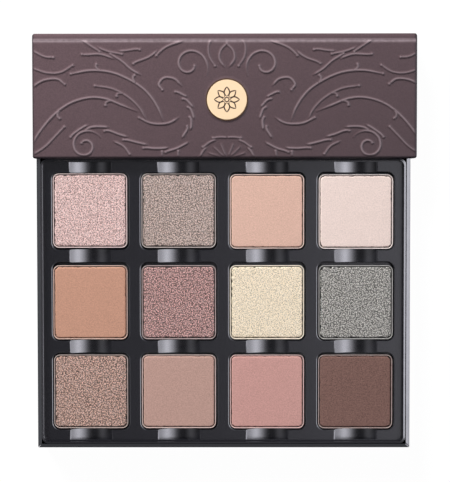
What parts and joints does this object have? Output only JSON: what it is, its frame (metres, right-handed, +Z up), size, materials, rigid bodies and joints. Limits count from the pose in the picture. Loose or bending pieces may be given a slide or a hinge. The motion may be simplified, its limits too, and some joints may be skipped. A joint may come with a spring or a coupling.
{
  "type": "eyeshadow palette",
  "caption": "Flat wrapped-board palette of square pressed-powder eyeshadow pans in a black moulded tray, with an embossed slip sleeve drawn off its top edge.",
  "frame": {"origin": "middle of the palette's footprint with the sleeve as in the picture, at the height of the table it lies on", "axes": "+Z up out of the pans, +Y along the tray towards the end where the sleeve waits, +X along the tray's width"},
  "size_m": [0.1358, 0.147, 0.0124],
  "materials": {
    "black_paper": "glossy laminated black paper",
    "greyboard": "raw pressed greyboard",
    "magnet_sheet": "flexible magnet sheet, satin",
    "black_plastic": "moulded glossy black plastic",
    "tinplate": "bright stamped tinplate",
    "brown_paper": "blind-embossed mauve-brown paper, soft sheen",
    "lining_paper": "plain dark lining paper",
    "cream_foil": "cream-gold foil with a dark printed rosette",
    "powder_pale_pink_shimmer": "pressed powder, fine shimmer",
    "powder_taupe_shimmer": "pressed powder, fine shimmer",
    "powder_peach_matte": "pressed powder, matte",
    "powder_cream_matte": "pressed powder, matte",
    "powder_terracotta_matte": "pressed powder, matte",
    "powder_mauve_brown_shimmer": "pressed powder, fine shimmer",
    "powder_pale_gold_shimmer": "pressed powder, fine shimmer",
    "powder_green_grey_shimmer": "pressed powder, fine shimmer",
    "powder_bronze_shimmer": "pressed powder, fine shimmer",
    "powder_taupe_pink_matte": "pressed powder, matte",
    "powder_dusty_rose_matte": "pressed powder, matte",
    "powder_dark_brown_matte": "pressed powder, matte"
  },
  "bodies": {
    "tray": {"tray_wrap": "black_paper", "tray_board_left": "greyboard", "tray_board_right": "greyboard", "tray_board_top": "greyboard", "tray_board_bottom": "greyboard", "tray_base_board": "greyboard", "magnet_sheet": "magnet_sheet", "tray_insert": "black_plastic"},
    "sleeve": {"sleeve_wrap": "brown_paper", "sleeve_lining": "lining_paper", "sleeve_board_front": "greyboard", "sleeve_board_back": "greyboard", "sleeve_board_left": "greyboard", "sleeve_board_right": "greyboard", "emblem_disc": "cream_foil"},
    "pan_row1_col1": {"pan_row1_col1": "tinplate", "powder_row1_col1": "powder_pale_pink_shimmer"},
    "pan_row1_col2": {"pan_row1_col2": "tinplate", "powder_row1_col2": "powder_taupe_shimmer"},
    "pan_row1_col3": {"pan_row1_col3": "tinplate", "powder_row1_col3": "powder_peach_matte"},
    "pan_row1_col4": {"pan_row1_col4": "tinplate", "powder_row1_col4": "powder_cream_matte"},
    "pan_row2_col1": {"pan_row2_col1": "tinplate", "powder_row2_col1": "powder_terracotta_matte"},
    "pan_row2_col2": {"pan_row2_col2": "tinplate", "powder_row2_col2": "powder_mauve_brown_shimmer"},
    "pan_row2_col3": {"pan_row2_col3": "tinplate", "powder_row2_col3": "powder_pale_gold_shimmer"},
    "pan_row2_col4": {"pan_row2_col4": "tinplate", "powder_row2_col4": "powder_green_grey_shimmer"},
    "pan_row3_col1": {"pan_row3_col1": "tinplate", "powder_row3_col1": "powder_bronze_shimmer"},
    "pan_row3_col2": {"pan_row3_col2": "tinplate", "powder_row3_col2": "powder_taupe_pink_matte"},
    "pan_row3_col3": {"pan_row3_col3": "tinplate", "powder_row3_col3": "powder_dusty_rose_matte"},
    "pan_row3_col4": {"pan_row3_col4": "tinplate", "powder_row3_col4": "powder_dark_brown_matte"}
  },
  "joints": [
    {"name": "sleeve_slide", "type": "slide", "parent": "tray", "child": "sleeve", "axis": [0, 1, 0], "range_m": [-0.103, 0.012]},
    {"name": "lift_row1_col1", "type": "slide", "parent": "tray", "child": "pan_row1_col1", "axis": [0, 0, 1], "range_m": [0, 0.012]},
    {"name": "lift_row1_col2", "type": "slide", "parent": "tray", "child": "pan_row1_col2", "axis": [0, 0, 1], "range_m": [0, 0.012]},
    {"name": "lift_row1_col3", "type": "slide", "parent": "tray", "child": "pan_row1_col3", "axis": [0, 0, 1], "range_m": [0, 0.012]},
    {"name": "lift_row1_col4", "type": "slide", "parent": "tray", "child": "pan_row1_col4", "axis": [0, 0, 1], "range_m": [0, 0.012]},
    {"name": "lift_row2_col1", "type": "slide", "parent": "tray", "child": "pan_row2_col1", "axis": [0, 0, 1], "range_m": [0, 0.012]},
    {"name": "lift_row2_col2", "type": "slide", "parent": "tray", "child": "pan_row2_col2", "axis": [0, 0, 1], "range_m": [0, 0.012]},
    {"name": "lift_row2_col3", "type": "slide", "parent": "tray", "child": "pan_row2_col3", "axis": [0, 0, 1], "range_m": [0, 0.012]},
    {"name": "lift_row2_col4", "type": "slide", "parent": "tray", "child": "pan_row2_col4", "axis": [0, 0, 1], "range_m": [0, 0.012]},
    {"name": "lift_row3_col1", "type": "slide", "parent": "tray", "child": "pan_row3_col1", "axis": [0, 0, 1], "range_m": [0, 0.012]},
    {"name": "lift_row3_col2", "type": "slide", "parent": "tray", "child": "pan_row3_col2", "axis": [0, 0, 1], "range_m": [0, 0.012]},
    {"name": "lift_row3_col3", "type": "slide", "parent": "tray", "child": "pan_row3_col3", "axis": [0, 0, 1], "range_m": [0, 0.012]},
    {"name": "lift_row3_col4", "type": "slide", "parent": "tray", "child": "pan_row3_col4", "axis": [0, 0, 1], "range_m": [0, 0.012]}
  ]
}
